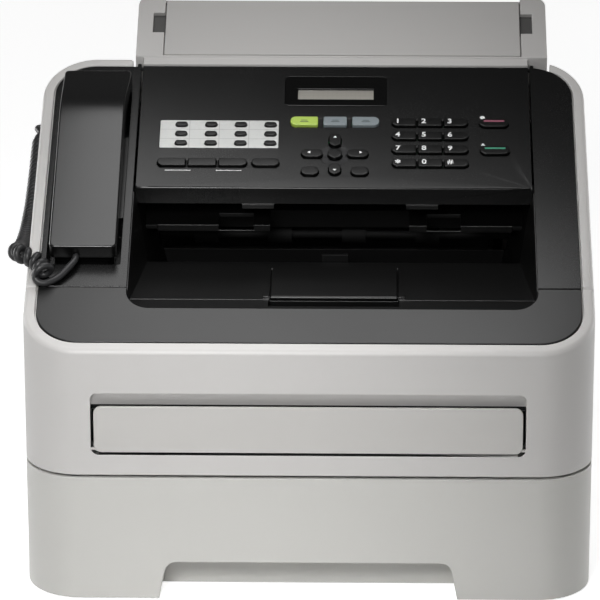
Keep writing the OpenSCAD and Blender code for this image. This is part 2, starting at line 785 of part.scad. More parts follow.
module display_bezel() {
  color([0.04, 0.04, 0.04]) on_deck() difference() {
    translate([keys_x - display[0] / 2, display_v - display[1] / 2, -1.2])
      linear_extrude(1.5) outline(0, 0, display[0], display[1], 2.5, 2.5);
    translate([keys_x - window[0] / 2, window_v - window[1] / 2, -2]) cube([window[0], window[1], 5]);
  }
  color([0.55, 0.57, 0.55]) on_deck()
    translate([keys_x - 27, window_v - 7.5, board_top]) cube([54, 15, -board_top - 1.2]);
}

module panel_board() {
  color("darkgreen") on_deck()
    block([panel_x[0] + 4, deck_v(panel_front) + 5, board_top - 1.6], [panel_x[1] - 4, 276, board_top]);
  color([0.1, 0.1, 0.1]) on_deck() for (x = [-60, 60])
    block([x - 8, 235, board_top - 3.6], [x + 8, 251, board_top - 1.6]);
}

/* --- Handset and cord --- */

module handset_back() {
  r = 2.5; // roundness of the edges
  x = handset_w / 2 - r;
  front_top = 13; // heights over the deck
  ridge_top = 21;
  rear_top = 7.5;
  ridge_v = 220; // where the back is highest
  tops = [[handset_v + r, front_top - r], [ridge_v, ridge_top - r], [handset_end - r, rear_top - r]];
  color([0.22, 0.22, 0.22]) on_deck() translate([handset_x, 0, 0]) for (n = [0, 1]) hull() {
    for (side = [-1, 1]) for (k = [n, n + 1]) {
      translate([side * x, tops[k][0], tops[k][1]]) sphere(r = r, $fn = 24);
      translate([side * x, tops[k][0], 2.5]) cylinder(r = r, h = 1, $fn = 24);
    }
  }
}

module handset_face() {
  color([0.14, 0.14, 0.14]) on_deck() translate([handset_x, 0, 0]) difference() {
    union() {
      translate([0, 0, channel_floor + 0.05]) linear_extrude(5.45)
        outline(-18, handset_v + 3, 18, handset_end - 7, 2, 6);
      for (v = [handset_v + 4, handset_end - 50]) translate([0, 0, -15]) linear_extrude(15)
        outline(-19.5, v, 19.5, v + 38, 8, 8);
    }
    for (v = [handset_v + 23, handset_end - 31]) {
      translate([0, v, -20]) cylinder(r = 12, h = 6.2);
      for (a = [0:60:300]) translate([6 * cos(a), v + 6 * sin(a), -20]) cylinder(r = 1, h = 9);
    }
  }
}

// Route of the handset cord: plain lead, curly part and plain tail, ending in the plug
lead_route = [[-152.2, -103, 209.7], [-153, -106.8, 207.9], [-156.3, -111.7, 205.2],
              [-162.6, -119, 200.8], [-169, -123.6, 199], [-173.3, -125, 198.9],
              [-176.8, -124.6, 200.9], [-177.6, -122.8, 204]];
coil_route = [[-171.4, -122.4, 204.1], [-173, -118, 205.8], [-176.3, -112.5, 208.2],
              [-181, -109, 210.1], [-186.3, -106.5, 211.3], [-190.6, -100, 211],
              [-191.2, -90, 207.8], [-191, -76, 203], [-190.9, -55, 198], [-190.9, -30, 193.8],
              [-190.9, 0, 192], [-190.9, 30, 193.4], [-190.9, 58, 198], [-190.9, 82, 204.5],
              [-190.9, 102, 211], [-190.9, 118, 215.6], [-191.4, 127, 217.6]];
tail_route = [[-191.4, 127, 217.6], [-193.6, 131, 218.3], [-194.6, 135, 218.3],
              [-193.4, 138, 218], [-191.6, 138, 218], [-190, 138, 218]];

// Point of a smooth curve through the route, t from 0 to the last point's number
function route_point(p, t) =
  let (n = len(p) - 1, i = min(floor(t), n - 1), f = t - i,
       a = i > 0 ? p[i - 1] : 2 * p[0] - p[1], b = p[i], c = p[i + 1],
       d = i < n - 1 ? p[i + 2] : 2 * p[n] - p[n - 1])
  b + 0.5 * f * (c - a + f * (2 * a - 5 * b + 4 * c - d + f * (3 * (b - c) + d - a)));

// Tube round a route, with a ring at every 1 / steps of a stretch
module route_tube(p, r, sides, steps) {
  n = (len(p) - 1) * steps;
  rings = [for (k = [0:n])
    let (at = route_point(p, k / steps),
         ahead = route_point(p, min(k / steps + 0.01, len(p) - 1)),
         behind = route_point(p, max(k / steps - 0.01, 0)),
         t = (ahead - behind) / norm(ahead - behind),
         u = cross(t, [0, 0, 1]) / norm(cross(t, [0, 0, 1])),
         w = cross(t, u))
    for (s = [0:sides - 1]) at + r * (cos(360 * s / sides) * u + sin(360 * s / sides) * w)];
  walls = [for (k = [0:n - 1]) for (s = [0:sides - 1]) for (half = [0, 1])
    let (a = k * sides + s, b = k * sides + (s + 1) % sides)
    half == 0 ? [a, a + sides, b] : [b, a + sides, b + sides]];
  caps = [[for (s = [0:sides - 1]) s], [for (s = [sides - 1:-1:0]) n * sides + s]];
  polyhedron(rings, concat(walls, caps));
}

module cord_lead() {
  color([0.15, 0.15, 0.15]) route_tube(lead_route, cord_d / 2, 8, 2);
}

module cord_tail() {
  color([0.15, 0.15, 0.15]) route_tube(tail_route, cord_d / 2, 8, 2);
}

module cord_coil() {
  color([0.12, 0.12, 0.12]) route_tube(coil_route, coil_d / 2, 12, 2);
}

module cord_plug() {
  color([0.1, 0.1, 0.1]) {
    bar_x(-half_w - 6, -half_w - 2, jack, 3.2);
    block([-half_w - 2, jack[0] - 5, jack[1] - 5], [-half_w + 9, jack[0] + 5, jack[1] + 5]);
  }
}

/* --- Paper cassette --- */

lift_axis = [138, 12];

module paper_cassette() {
  tray = tray_w / 2;
  color("gainsboro") difference() {
    union() {
      intersection() {
        union() {
          difference() {
            lower_prism(0, 1);
            lower_prism(wall, 0);
          }
          lower_prism(0, cassette_h - wall);
        }
        block([-far, -far, 1], [far, cassette_end, cassette_h]);
      }
      intersection() {
        along_y(front_y + wall, front_y + 28) grip_outline(2.2);
        block([-far, -far, 1], [far, far, cassette_h]);
      }
      block([-tray, front_y + 26, 4], [tray, -151, 60]);
      for (x = [-tray, -60, 60, tray - 2.5])
        block([x, front_y + 2, 30], [x + 2.5, -152, cassette_h - 1]);
    }
    along_y(front_y - 1, front_y + 26) grip_outline(0);
  }
  color([0.25, 0.25, 0.26]) difference() {
    union() {
      block([-tray, -152, 4], [tray, 148, tray_h]);
      for (side = [-1, 1]) translate([side * (tray + 1.5), 0, 0])
        block([-1.7, -140, 22], [1.7, 148, 24]);
    }
    block([-tray + wall, -150, 6], [tray - wall, 148 - wall, far]);
    bar_x(-tray - 1, tray + 1, lift_axis, 2 + fit);
  }
}

// Grip opening: leaning sides and round upper corners, grown by t
module grip_outline(t) {
  foot = grip_w / 2 + t;
  top = grip_h + t;
  lean = 7; // degrees of the leaning sides
  r = 8 + t;
  cx = foot - ((top - r) * sin(lean) + r) / cos(lean);
  polygon([[-foot - 3, -10], [foot + 3, -10], [cx + r * cos(lean), top - r + r * sin(lean)], [cx, top],
           [-cx, top], [-cx - r * cos(lean), top - r + r * sin(lean)]]);
  for (side = [-1, 1]) translate([side * cx, top - r]) circle(r = r);
}

module lift_plate() {
  color("darkgray") {
    block([-112, -60, 7.5], [112, 136, 9]);
    for (side = [-1, 1]) {
      bar_x(side * 118 - 7, side * 118 + 7, lift_axis, 2);
      block([side * 110 - 3, 130, 8], [side * 110 + 3, 140, 12]);
      bar_x(side * 110 - 3, side * 110 + 3, lift_axis, 4);
    }
  }
}

/* --- Chassis and works inside --- */

roller_feed = [-95, 64];
roller_exit = [20, 182];
plate_z = 88.6; // underside of the plate above the cassette

module base_frame() {
  color([0.3, 0.31, 0.32]) difference() {
    union() {
      block([-181, -138, plate_z], [181, side_rear - 1, plate_z + wall]);
      block([-145, -169, plate_z], [145, -137, plate_z + wall]);
      for (side = [-1, 1]) {
        translate([side * hinge_arm_x, 0, 0])
          block([-2.7, hinge_front[0], hinge_front[1] - 1], [2.7, -168, hinge_front[1] + 1]);
        bar_x(side * hinge_arm_x - 2.7, side * hinge_arm_x + 2.7, hinge_front, 2.4);
        translate([side * 155.5, 0, 0]) block([-24.5, -143, foot_h], [24.5, side_rear - 1, foot_h + wall]);
        translate([side * 131.3, 0, 0]) block([-1.2, -143, foot_h], [1.2, side_rear - 1, plate_z]);
        translate([side * 128.5, 0, 0]) block([-2, -138, 19.9], [2, side_rear - 1, 21.9]);
        translate([side * 175, 0, 0]) block([-1.2, -138, foot_h], [1.2, side_rear - 1, plate_z]);
        along_x(side * (side_plate_x - 1.5) - 1.5, side * (side_plate_x - 1.5) + 1.5)
          polygon([[-118, plate_z], [140, plate_z], [140, 200], [80, deck_z(80) - 36],
                   [chute_wing_end, deck_z(chute_wing_end) - 36],
                   [chute_wing_end, chute_top(chute_wing_end) - chute_t],
                   [bay_rear + 3, chute_top(bay_rear + 3) - chute_t],
                   [bay_rear + 3, deck_z(bay_rear + 3) - 36], [-118, deck_z(-118) - 36]]);
        translate([side * 63, 0, 0])
          block([-3, roller_feed[0] - 7, roller_feed[1] - 7], [3, roller_feed[0] + 7, plate_z + 1]);
      }
      block([-152, -46, 124.5], [152, 64, 127]);
      for (p = screw_places) block([p[0] - 5, side_rear - 3, p[1] - 5], [p[0] + 5, side_rear + 12, p[1] + 5]);
      for (p = screw_places)
        block([p[0] - 5, side_rear - 3, p[0] < 0 ? foot_h : plate_z], [p[0] + 5, side_rear, p[1] + 5]);
    }
    for (side = [-1, 1]) {
      bar_x(side * hinge_arm_x - 3, side * hinge_arm_x + 3, hinge_front, 1.2 + fit);
      bar_x(side * 63 - 4, side * 63 + 4, roller_feed, 3 + fit);
      bar_x(side * (side_plate_x - 1.5) - 3, side * (side_plate_x - 1.5) + 3, roller_exit, 3 + fit);
    }
    for (p = screw_places) translate([p[0], rear_y, p[1]]) rotate([90, 0, 0]) cylinder(r = 1.5, h = 29);
  }
}

module rubber_feet() {
  color([0.1, 0.1, 0.1]) for (x = [-158, 158]) for (y = [-118, 128]) translate([x, y, 0])
    cylinder(r = 9, h = foot_h);
}

module pickup_roller() {
  color("darkgray") bar_x(-70, 70, roller_feed, 3);
  color([0.25, 0.25, 0.25]) difference() {
    bar_x(-26, 26, roller_feed, 14);
    bar_x(-27, 27, roller_feed, 2.9);
  }
}

module exit_roller() {
  color("darkgray") bar_x(-side_plate_x - 2, side_plate_x + 7, roller_exit, 3);
  color([0.2, 0.2, 0.2]) for (x = [-80, -30, 20, 70]) difference() {
    bar_x(x, x + 16, roller_exit, 6);
    bar_x(x - 1, x + 17, roller_exit, 2.9);
  }
}

module drum_unit() {
  axis = [-40, 108];
  color([0.18, 0.2, 0.24]) for (x = [-122, 118]) along_x(x, x + 4)
    outline(-112, 91.2, -22, 122, 4, 4);
  color([0.18, 0.2, 0.24]) block([-120, -112, 94], [120, -60, 97]);
  color([0.18, 0.2, 0.24]) block([-120, -30, 112], [120, -24, 120]);
  color("teal") bar_x(-120, 120, axis, 12);
  color("darkgray") bar_x(-126, 126, axis, 3);
}

module toner_cartridge() {
  color([0.15, 0.15, 0.16]) {
    along_x(-116, 116) outline(-118, 124, -54, 160, 6, 12);
    block([-116, -100, 99], [116, -62, 130]);
    block([-30, -126, 138], [30, -116, 146]);
  }
}

module laser_unit() {
  color([0.25, 0.26, 0.27]) {
    along_x(-95, 95) polygon([[-36, 127], [58, 127], [58, 152], [2, 152], [-36, 148]]);
    translate([0, 22, 152]) cylinder(r = 16, h = 2.4);
  }
}

module fuser_unit() {
  color([0.2, 0.2, 0.2]) {
    for (x = [-125, 121]) along_x(x, x + 4) outline(84, 91.1, 138, 150, 5, 5);
    block([-122, 84, 91.1], [122, 138, 94]);
    block([-122, 86, 146], [122, 136, 149]);
  }
  color("brown") bar_x(-122, 122, [108, 131], 10);
  color("silver") bar_x(-122, 122, [112, 108], 12.9);
}

// Motor on a closed gear box, whose last gear sits on the end of the exit roller's shaft
module drive_unit() {
  color("darkgray") {
    bar_x(166, 178, [60, 120], 21);
    for (y = [-34, 70]) bar_x(side_plate_x, side_plate_x + 3, [y, 120], 6);
  }
  color("silver") difference() {
    along_x(side_plate_x + 3, 166) {
      outline(-52, 96, 88, 146, 14, 14);
      outline(2, 130, 38, 200, 10, 14);
    }
    bar_x(side_plate_x, side_plate_x + 8, roller_exit, 3 + fit);
  }
}

module main_board() {
  color("darkgreen") block([-158.6, -60, 96], [-157, 120, 160]);
  color([0.1, 0.1, 0.1]) for (p = [[-40, 110], [0, 130], [40, 105], [90, 140]])
    block([-161.6, p[0], p[1]], [-158.6, p[0] + 18, p[1] + 14]);
  color("darkgray") for (p = [[-55, 100], [-55, 155], [112, 100], [112, 155]])
    bar_x(-157, -155, p, 2.5);
}

base_frame();
left_side_cover();
right_side_cover();
rear_housing();
output_tray();
handset_cradle();
right_top_panel();
document_chute();
rear_top_cover();
rubber_feet();
laser_unit();
fuser_unit();
drum_unit();
toner_cartridge();
drive_unit();
main_board();
connector_panel();
screws();
front_cover();
front_deck();
manual_feed_cover();
paper_cassette();
lift_plate();
pickup_roller();
exit_roller();
document_roller();
rear_cover();
output_flap();
control_panel();
display_bezel();
panel_board();
document_support();
handset_back();
handset_face();
union() {
  cord_lead();
  cord_tail();
}
cord_coil();
cord_plug();
navigation_keys();
function_keys();
one_touch_keys();
for (key = single_keys) {
  color(key[0] == "fax_key" ? "yellowgreen" : [0.13, 0.13, 0.13])
    key_cap(key);
}
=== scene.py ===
"""Finishes and fine shapes of a desktop laser fax machine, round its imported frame.

Metres, with X to the right, Y to the rear and Z up. The sections follow the machine as it is
put together, from the chassis to the keys, the handset and its cord.
"""

import json
import math

import bmesh
import bpy
from mathutils import Matrix, Quaternion, Vector


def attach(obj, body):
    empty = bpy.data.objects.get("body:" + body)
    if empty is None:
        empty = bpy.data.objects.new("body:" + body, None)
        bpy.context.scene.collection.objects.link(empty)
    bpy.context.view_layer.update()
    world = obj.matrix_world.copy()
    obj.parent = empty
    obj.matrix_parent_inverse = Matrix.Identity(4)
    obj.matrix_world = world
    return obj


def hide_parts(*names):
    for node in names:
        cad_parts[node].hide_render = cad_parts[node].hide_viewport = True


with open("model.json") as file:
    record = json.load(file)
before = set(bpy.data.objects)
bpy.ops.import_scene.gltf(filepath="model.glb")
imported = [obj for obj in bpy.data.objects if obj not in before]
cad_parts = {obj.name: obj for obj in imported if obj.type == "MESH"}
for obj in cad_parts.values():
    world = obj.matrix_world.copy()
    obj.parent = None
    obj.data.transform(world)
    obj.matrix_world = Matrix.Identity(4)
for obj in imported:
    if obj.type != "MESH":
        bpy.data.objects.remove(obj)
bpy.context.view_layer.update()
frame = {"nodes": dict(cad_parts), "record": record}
nodes = frame["nodes"]
body_of_node = {n: b for b, names in frame["record"]["behaviour"]["bodies"].items() for n in names}

# --- Camera -----------------------------------------------------------------------------
# A long lens a little above the machine, looking down on the sloping deck from the front
# and from a touch to the right.
camera_place = Vector((0.0391, -2.7103, 1.1548))
camera_pitch = math.radians(20.5)
camera_yaw = 0.0151

bpy.ops.object.camera_add(
    location=camera_place, rotation=(math.pi / 2 - camera_pitch, 0, camera_yaw)
)
camera = bpy.context.object
camera.name = "camera"
camera.data.lens = 256.0
camera.data.sensor_width = 36
camera.data.shift_x = -0.0158
camera.data.clip_end = 50
bpy.context.scene.camera = camera
bpy.context.scene.view_settings.view_transform = "Standard"


# --- Shader arithmetic and the studio ---------------------------------------------------
# A pale floor that keeps the machine's shadow, a low round wall of white paper, and four soft
# boxes: over the machine, in front of it, and low behind it on both sides. A dark card lies
# on the floor in front, where only glossy faces mirror it.
class Wire:
    """A socket of a material. Sums and products of wires and numbers add Math nodes."""

    def __init__(self, tree, socket=None):
        self.tree = tree
        self.socket = socket

    def node(self, kind, settings=None, inputs=None, out=0):
        """Adds a node; its settings are made first, then its inputs are set or linked."""
        made = self.tree.nodes.new(kind)
        for name, value in (settings or {}).items():
            setattr(made, name, value)
        for name, value in (inputs or {}).items():
            if isinstance(value, Wire):
                self.tree.links.new(value.socket, made.inputs[name])
            else:
                made.inputs[name].default_value = value
        return Wire(self.tree, made.outputs[out])

    def maths(self, operation, *others):
        """Math node on this wire and then the others, which are wires or numbers."""
        return self.node("ShaderNodeMath", {"operation": operation}, dict(enumerate((self, *others))))

    def __add__(self, other):
        return self.maths("ADD", other)

    __radd__ = __add__

    def __sub__(self, other):
        return self.maths("SUBTRACT", other)

    def __rsub__(self, other):
        return self.node("ShaderNodeMath", {"operation": "SUBTRACT"}, {0: other, 1: self})

    def __mul__(self, other):
        return self.maths("MULTIPLY", other)

    __rmul__ = __mul__

    def __gt__(self, other):
        return self.maths("GREATER_THAN", other)

    def __lt__(self, other):
        return self.maths("LESS_THAN", other)

    def either(self, other):
        """The larger of two wires, which joins two masks."""
        return self.maths("MAXIMUM", other)

    def from_line(self, pitch):
        """Distance to the nearest of the lines that stand a pitch apart."""
        return self.maths("PINGPONG", pitch / 2)

    def mix(self, first, second):
        """Colour between first and second, by this wire's value."""
        return self.node(
            "ShaderNodeMix", {"data_type": "RGBA"}, {0: self, 6: first, 7: second}, out=2
        )


def shade(red, green, blue):
    """Linear colour of a display colour from 0 to 255."""
    linear = [
        c / 12.92 if c <= 0.04045 else ((c + 0.055) / 1.055) ** 2.4
        for c in (red / 255, green / 255, blue / 255)
    ]
    return (*linear, 1)


def paint(name, roughness, **fixed):
    """New material, its Principled node and the wire of the place on the piece."""
    material = bpy.data.materials.new(name)
    material.use_nodes = True
    tree = material.node_tree
    shader = tree.nodes["Principled BSDF"]
    shader.inputs["Roughness"].default_value = roughness
    for socket, value in fixed.items():
        shader.inputs[socket.replace("_", " ")].default_value = value
    place = Wire(tree).node("ShaderNodeTexCoord", out="Object")
    return material, shader, place


def plug(shader, socket, wire):
    """Links a wire to a socket of a shader node."""
    wire.tree.links.new(wire.socket, shader.inputs[socket])


def noise(place, scale, detail=2.0):
    """Soft noise from 0 to 1, finer where the scale is larger."""
    return place.node(
        "ShaderNodeTexNoise", None, {"Vector": place, "Scale": scale, "Detail": detail}
    )


def only(piece):
    """Selects one piece and nothing else."""
    if bpy.context.object and bpy.context.object.mode != "OBJECT":
        bpy.ops.object.mode_set(mode="OBJECT")
    bpy.ops.object.select_all(action="DESELECT")
    piece.select_set(True)
    bpy.context.view_layer.objects.active = piece


white = (1, 1, 1, 1)
paper_white = (0.88, 0.88, 0.88, 1)
paper_lift = 0.75


def backdrop(piece, name):
    """White studio paper: lit as usual, and lifted to white where it is seen or mirrored."""
    piece.name = name
    material, shader, place = paint(name + "_paper", 0.7)
    shader.inputs["Base Color"].default_value = paper_white
    camera_ray, glossy_ray, clear_ray = (
        place.node("ShaderNodeLightPath", out=ray)
        for ray in ("Is Camera Ray", "Is Glossy Ray", "Is Transmission Ray")
    )
    seen = camera_ray.either(glossy_ray.either(clear_ray))
    paper = Wire(material.node_tree, shader.outputs[0])
    glow = place.node("ShaderNodeEmission", None, {"Color": white, "Strength": paper_lift})
    lifted = place.node("ShaderNodeAddShader", None, {0: paper, 1: glow})
    picked = seen.node("ShaderNodeMixShader", None, {0: seen, 1: paper, 2: lifted})
    plug(material.node_tree.nodes["Material Output"], "Surface", picked)
    piece.data.materials.append(material)


bpy.ops.object.select_all(action="DESELECT")
bpy.ops.mesh.primitive_plane_add(size=14)
backdrop(bpy.context.object, "floor")
wall_height = 1.2
bpy.ops.mesh.primitive_cylinder_add(
    vertices=96, radius=6.5, depth=wall_height, end_fill_type="NOTHING",
    location=(0, 0, wall_height / 2),
)
bpy.ops.object.mode_set(mode="EDIT")
bpy.ops.mesh.select_all(action="SELECT")
bpy.ops.mesh.flip_normals()
bpy.ops.object.mode_set(mode="OBJECT")
bpy.ops.object.transform_apply(location=True)
backdrop(bpy.context.object, "wall")

surround_strength = 0.07
world = bpy.data.worlds.new("surround")
world.use_nodes = True
bpy.context.scene.world = world
world.node_tree.nodes["Background"].inputs["Color"].default_value = white
world.node_tree.nodes["Background"].inputs["Strength"].default_value = surround_strength


def soft_box(name, place, aim, size, glow, roll=0.0, spread=math.pi):
    """Rectangular lamp at a place, turned to its aim and then rolled, with a beam of spread."""
    bpy.ops.object.light_add(type="AREA", location=place)
    lamp = bpy.context.object
    lamp.name = name
    lamp.visible_camera = False
    lamp.data.shape = "RECTANGLE"
    lamp.data.size, lamp.data.size_y = size
    lamp.data.energy = glow * math.pi * size[0] * size[1]
    lamp.data.spread = spread
    facing = (Vector(aim) - Vector(place)).to_track_quat("-Z", "Y")
    lamp.rotation_euler = (facing @ Quaternion((0, 0, 1), roll)).to_euler()


soft_box(
    "lamp_over", place=(-0.03, -0.03, 0.7), aim=(-0.03, -0.23, 0), size=(0.42, 0.42), glow=1.6,
    roll=math.radians(-15), spread=math.radians(130),
)
soft_box(
    "lamp_front", place=(-0.15, -0.9, 0.68), aim=(-0.065, -0.18, 0.13), size=(0.36, 0.36), glow=1.7,
    spread=math.radians(48),
)
for name, side in (("lamp_left", -1), ("lamp_right", 1)):
    soft_box(name, place=(1.9 * side, 1.0, 0.35), aim=(0, 0, 0.15), size=(1.4, 0.5), glow=8)

bpy.ops.mesh.primitive_plane_add(size=1.2, location=(0, -0.9, 0.001))
dark_card = bpy.context.object
dark_card.name = "dark_card"
for ray in ("camera", "diffuse", "transmission", "volume_scatter", "shadow"):
    setattr(dark_card, "visible_" + ray, False)
card_paper, shader, _ = paint("dark_card", 0.9)
shader.inputs["Base Color"].default_value = (0.02, 0.02, 0.02, 1)
dark_card.data.materials.append(card_paper)


# --- Chassis and works ------------------------------------------------------------------
# Glass-filled chassis with the laser unit, fuser, drum, toner, drive and boards that it
# carries. They show when the covers are open, so they keep their frame shapes and get
# their own finishes.
def relief(shader, height, depth):
    """Surface that stands up by depth where the height wire is 1."""
    bump = height.node("ShaderNodeBump", None, {"Strength": 1.0, "Distance": depth, "Height": height})
    plug(shader, "Normal", bump)


def moulded(name, colour, roughness, grain=0.00002, grain_scale=1400, mottle=0.04, **fixed):
    """Moulded plastic: a fine bead-blasted grain, with faint clouds in colour and gloss."""
    material, shader, place = paint(name, roughness, **fixed)
    clouds = noise(place, scale=9, detail=3)
    speckle = noise(place, grain_scale)
    darker = tuple(c * (1 - mottle) for c in colour[:3]) + (1,)
    lighter = tuple(min(1, c * (1 + mottle)) for c in colour[:3]) + (1,)
    cloud_share = 0.75
    tone = clouds * cloud_share + speckle * (1 - cloud_share)
    plug(shader, "Base Color", tone.mix(darker, lighter))
    cloud_gloss, speckle_gloss = 0.08, 0.05
    glossiest = roughness - (cloud_gloss + speckle_gloss) / 2
    plug(shader, "Roughness", clouds * cloud_gloss + speckle * speckle_gloss + glossiest)
    relief(shader, speckle, grain)
    return material


def metal(name, colour, roughness):
    """Plated sheet metal with fine rolling marks that run across the machine."""
    material, shader, place = paint(name, roughness, Metallic=1.0)
    rolled = place.node("ShaderNodeMapping", None, {"Vector": place, "Scale": (40, 1800, 1800)})
    marks = noise(rolled, scale=1)
    mark_shade, mark_gloss = 0.82, 0.18
    darker = tuple(c * mark_shade for c in colour[:3]) + (1,)
    plug(shader, "Base Color", marks.mix(darker, colour))
    plug(shader, "Roughness", marks * mark_gloss + (roughness - mark_gloss / 2))
    return material


def circuit(name, mask, track):
    """Solder mask over copper tracks: raised lines on a square grid, broken by noise."""
    material, shader, place = paint(name, 0.35, Coat_Weight=0.3)
    black = (0, 0, 0, 1)
    grid = place.node(
        "ShaderNodeTexBrick",
        {"offset": 0.5, "squash": 1.0},
        {"Vector": place, "Scale": 90.0, "Mortar Size": 0.035, "Color1": black, "Color2": black,
         "Mortar": white},
    )
    tracks = grid * (noise(place, scale=60) > 0.47)
    plug(shader, "Base Color", tracks.mix(mask, track))
    relief(shader, tracks, depth=0.00004)
    return material


chassis_plastic = moulded("chassis_plastic", shade(34, 35, 36), 0.55, grain=0.00004, mottle=0.08)
works_plastic = moulded(
    "works_plastic", shade(8, 8, 8), 0.55, grain=0.00003, mottle=0.08, Specular_IOR_Level=0.25
)
drum_coating = moulded("drum_coating", shade(24, 92, 96), 0.18, grain=0.000003, Coat_Weight=0.6)
zinc_plate = metal("zinc_plate", shade(188, 190, 192), 0.38)
board_mask = circuit("board_mask", shade(16, 84, 44), shade(34, 122, 66))
foot_rubber = moulded("foot_rubber", shade(30, 30, 31), 0.8, grain=0.00005, mottle=0.12)
roller_rubber = moulded(
    "roller_rubber", shade(8, 8, 8), 0.75, grain=0.00006, mottle=0.1, Specular_IOR_Level=0.2
)
socket_plastic = moulded("socket_plastic", shade(32, 32, 34), 0.42, mottle=0.08)
for material, finished in (
    (chassis_plastic, ("base_frame",)),
    (works_plastic, ("laser_unit", "fuser_unit", "toner_cartridge")),
    (drum_coating, ("drum_unit",)),
    (zinc_plate, ("drive_unit", "lift_plate", "screws")),
    (board_mask, ("main_board", "panel_board")),
    (foot_rubber, ("rubber_feet",)),
    (roller_rubber, ("pickup_roller", "exit_roller", "document_roller")),
    (socket_plastic, ("connector_panel",)),
):
    for node in finished:
        nodes[node].data.materials.clear()
        nodes[node].data.materials.append(material)


# --- Side covers and rear housing -------------------------------------------------------
# Light warm-grey covers, moulded with a fine grain and screwed to the chassis. Their edges are
# rounded where the halves of the mould meet, and more where the outer walls turn into the
# deck's rim.
deck_start = Vector((0, -0.18, 0.1732))
deck_slope = math.radians(22)
# A place on the deck is (x, v, w): across, up the slope from its front edge, and over it.
deck_frame = Matrix.Translation(deck_start) @ Matrix.Rotation(deck_slope, 4, "X")
to_deck = deck_frame.inverted()
deck_up = (deck_frame.to_3x3() @ Vector((0, 0, 1))).normalized()
machine_middle = Vector((0, -0.02, 0.15))
weld_distance = 0.000004
sharp_degrees, smooth_degrees = 28, 34


def merged(node):
    """Copy of a frame node's shape, with its triangles joined along their edges."""
    bpy.ops.object.select_all(action="DESELECT")
    piece = bpy.data.objects.new(node + "_moulding", nodes[node].data.copy())
    bpy.context.scene.collection.objects.link(piece)
    only(piece)
    bpy.ops.mesh.customdata_custom_splitnormals_clear()
    bpy.ops.object.mode_set(mode="EDIT")
    bpy.ops.mesh.select_all(action="SELECT")
    bpy.ops.mesh.remove_doubles(threshold=weld_distance)
    bpy.ops.object.mode_set(mode="OBJECT")
    return piece


def bevel_edges(piece, wanted, width, segments=4, sharp=sharp_degrees):
    """Rounds the sharp edges of a piece for which wanted(edge) holds."""
    only(piece)
    bpy.ops.object.mode_set(mode="EDIT")
    bpy.ops.mesh.select_mode(type="EDGE")
    bpy.ops.mesh.select_all(action="DESELECT")
    work = bmesh.from_edit_mesh(piece.data)
    for edge in work.edges:
        if len(edge.link_faces) == 2 and edge.calc_face_angle() > math.radians(sharp):
            edge.select = wanted(edge)
    bmesh.update_edit_mesh(piece.data)
    bpy.ops.mesh.bevel(
        offset=width, segments=segments, affect="EDGES", loop_slide=False, clamp_overlap=False
    )
    bpy.ops.object.mode_set(mode="OBJECT")


def smoothed(piece, edge=0):
    """Rounds all sharp edges of a piece by edge and evens its shading."""
    only(piece)
    if edge:
        rounding = piece.modifiers.new("rounding", "BEVEL")
        rounding.width = edge
        rounding.segments = 3
        rounding.limit_method = "ANGLE"
        rounding.angle_limit = math.radians(sharp_degrees)
        rounding.loop_slide = False
        rounding.use_clamp_overlap = False
        bpy.ops.object.modifier_apply(modifier="rounding")
    bpy.ops.object.shade_smooth_by_angle(angle=math.radians(smooth_degrees))
    evening = piece.modifiers.new("evening", "WEIGHTED_NORMAL")
    evening.keep_sharp = True
    evening.weight = 100
    bpy.ops.object.modifier_apply(modifier="evening")


def within(piece, node):
    """Keeps the points of a piece in the box of a frame node."""
    corners = [point.co for point in nodes[node].data.vertices]
    low = [min(co[axis] for co in corners) for axis in range(3)]
    high = [max(co[axis] for co in corners) for axis in range(3)]
    for point in piece.data.vertices:
        point.co = [min(max(point.co[axis], low[axis]), high[axis]) for axis in range(3)]


def stands_for(piece, node, material):
    """Puts a finished piece in the place of a frame node."""
    piece.data.materials.clear()
    piece.data.materials.append(material)
    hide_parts(node)
    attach(piece, body_of_node[node])
    return piece


def dressed(node, material, edge):
    """A frame node's own shape with its sharp edges rounded by edge."""
    piece = merged(node)
    smoothed(piece, edge)
    within(piece, node)
    return stands_for(piece, node, material)


flat_with_deck, wall_tilt, wall_reach = 0.98, 0.1, 0.02


def on_outer_rim(edge):
    """True where the deck plane meets an outer wall."""
    top, wall = (face.normal for face in edge.link_faces)
    if wall.dot(deck_up) > flat_with_deck:
        top, wall = wall, top
    middle = (edge.verts[0].co + edge.verts[1].co) / 2
    outwards = wall.dot(middle - machine_middle) > wall_reach
    return top.dot(deck_up) > flat_with_deck and abs(wall.z) < wall_tilt and outwards


rim_round = 0.0028
cover_edge = 0.0006
cover_plastic = moulded("cover_plastic", shade(206, 204, 202), 0.42, mottle=0.015)
for node in ("left_side_cover", "right_side_cover"):
    piece = merged(node)
    bevel_edges(piece, on_outer_rim, rim_round)
    smoothed(piece, cover_edge)
    within(piece, node)
    stands_for(piece, node, cover_plastic)
for node in ("rear_housing", "rear_cover"):
    dressed(node, cover_plastic, cover_edge)


# --- Front cover, feed flap and cassette ------------------------------------------------
# Moulded in the light plastic of the side covers. The front cover carries the rim round the
# deck, and the flap, which turns on two pins and folds out for single sheets, rests on a
# step in it. The cassette below is pulled by the grip in its foot.
def inlay(piece, material, inside):
    """Gives another material to the faces whose middle is inside."""
    piece.data.materials.append(material)
    for face in piece.data.polygons:
        if inside(face.center):
            face.material_index = len(piece.data.materials) - 1


# The middle and half size of the flap are taken over its two hinge pins.
flap_middle, flap_half = Vector((0, 0, 0.1191)), Vector((0.141, 1, 0.0161))
flap_gap = 0.00035
step_low, step_high = Vector((-0.1426, -0.1795, 0.1008)), Vector((0.1426, -0.1712, 0.134))


def on_step(place):
    """True on the step that the closed flap rests on, which is painted as shade."""
    return all(step_low[axis] < place[axis] < step_high[axis] for axis in range(3))
